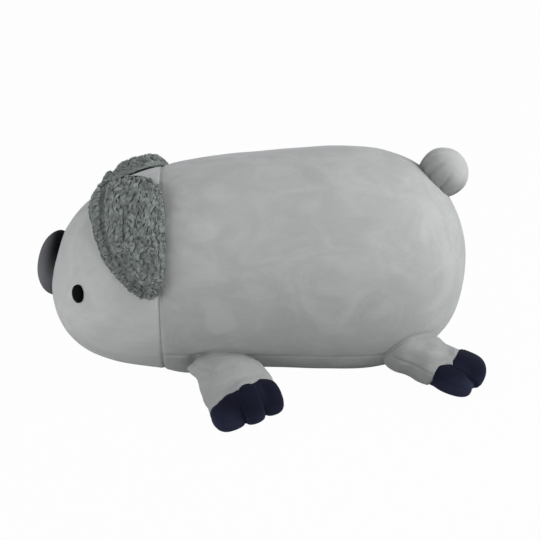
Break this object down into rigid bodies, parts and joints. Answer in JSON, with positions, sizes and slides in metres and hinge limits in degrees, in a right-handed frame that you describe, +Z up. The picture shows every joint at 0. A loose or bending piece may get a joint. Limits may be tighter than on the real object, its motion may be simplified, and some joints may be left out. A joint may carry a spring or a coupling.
{
  "type": "plush koala",
  "caption": "Soft stuffed koala lying on its belly, with a barrel body, padded oval nose, floppy sherpa ears, splayed legs with dark toes and a round tail.",
  "frame": {"origin": "on the flat of the belly that rests on the floor, midway between the sides", "axes": "-Y is the way the face looks, +X is the toy's left side, +Z is up"},
  "size_m": [0.3654, 0.4548, 0.2243],
  "materials": {
    "grey_plush": "short brushed plush",
    "sherpa": "curly sherpa",
    "dark_velvet": "short velvet",
    "nose_velvet": "short velvet",
    "stuffing": "loose fibre filling",
    "eye_black": "matt"
  },
  "bodies": {
    "torso": {"head_cover": "grey_plush", "back_cover": "grey_plush", "belly_cover": "grey_plush", "body_stuffing": "stuffing", "nose_cover": "nose_velvet", "nose_stuffing": "stuffing", "eye_left": "eye_black", "eye_right": "eye_black"},
    "ear_left": {"ear_left_back": "sherpa", "ear_left_front": "sherpa", "ear_left_wadding": "stuffing"},
    "ear_right": {"ear_right_back": "sherpa", "ear_right_front": "sherpa", "ear_right_wadding": "stuffing"},
    "front_left_leg": {"front_left_leg_top": "grey_plush", "front_left_leg_sole": "grey_plush", "front_left_toes_top": "dark_velvet", "front_left_toes_sole": "dark_velvet", "front_left_leg_stuffing": "stuffing"},
    "front_right_leg": {"front_right_leg_top": "grey_plush", "front_right_leg_sole": "grey_plush", "front_right_toes_top": "dark_velvet", "front_right_toes_sole": "dark_velvet", "front_right_leg_stuffing": "stuffing"},
    "rear_left_leg": {"rear_left_leg_top": "grey_plush", "rear_left_leg_sole": "grey_plush", "rear_left_toes_top": "dark_velvet", "rear_left_toes_sole": "dark_velvet", "rear_left_leg_stuffing": "stuffing"},
    "rear_right_leg": {"rear_right_leg_top": "grey_plush", "rear_right_leg_sole": "grey_plush", "rear_right_toes_top": "dark_velvet", "rear_right_toes_sole": "dark_velvet", "rear_right_leg_stuffing": "stuffing"},
    "tail": {"tail_cover": "grey_plush", "tail_stuffing": "stuffing"}
  },
  "joints": [
    {"name": "ear_left_lift", "type": "hinge", "parent": "torso", "child": "ear_left", "pos_m": [0.08594, -0.101, 0.16366], "axis": [-0.5995, 0, 0.8004], "range_deg": [0, 75], "stiffness_Nm_per_rad": 0.05},
    {"name": "ear_right_lift", "type": "hinge", "parent": "torso", "child": "ear_right", "pos_m": [-0.08594, -0.101, 0.16366], "axis": [-0.5995, 0, -0.8004], "range_deg": [0, 75], "stiffness_Nm_per_rad": 0.05},
    {"name": "front_left_leg_lift", "type": "hinge", "parent": "torso", "child": "front_left_leg", "pos_m": [0.08465, -0.05, 0.02482], "axis": [0.2337, -0.9372, -0.2588], "range_deg": [-15, 25], "stiffness_Nm_per_rad": 0.3},
    {"name": "front_right_leg_lift", "type": "hinge", "parent": "torso", "child": "front_right_leg", "pos_m": [-0.08465, -0.05, 0.02482], "axis": [0.2337, 0.9372, 0.2588], "range_deg": [-15, 25], "stiffness_Nm_per_rad": 0.3},
    {"name": "rear_left_leg_lift", "type": "hinge", "parent": "torso", "child": "rear_left_leg", "pos_m": [0.077, 0.13, 0.04185], "axis": [0.9802, -0.1956, 0.0326], "range_deg": [-10, 15], "stiffness_Nm_per_rad": 0.3},
    {"name": "rear_right_leg_lift", "type": "hinge", "parent": "torso", "child": "rear_right_leg", "pos_m": [-0.077, 0.13, 0.04185], "axis": [0.9802, 0.1956, -0.0326], "range_deg": [-10, 15], "stiffness_Nm_per_rad": 0.3},
    {"name": "tail_wag", "type": "hinge", "parent": "torso", "child": "tail", "pos_m": [0, 0.167, 0.19156], "axis": [0, -0.7067, 0.7075], "range_deg": [-18, 18], "stiffness_Nm_per_rad": 0.03}
  ]
}
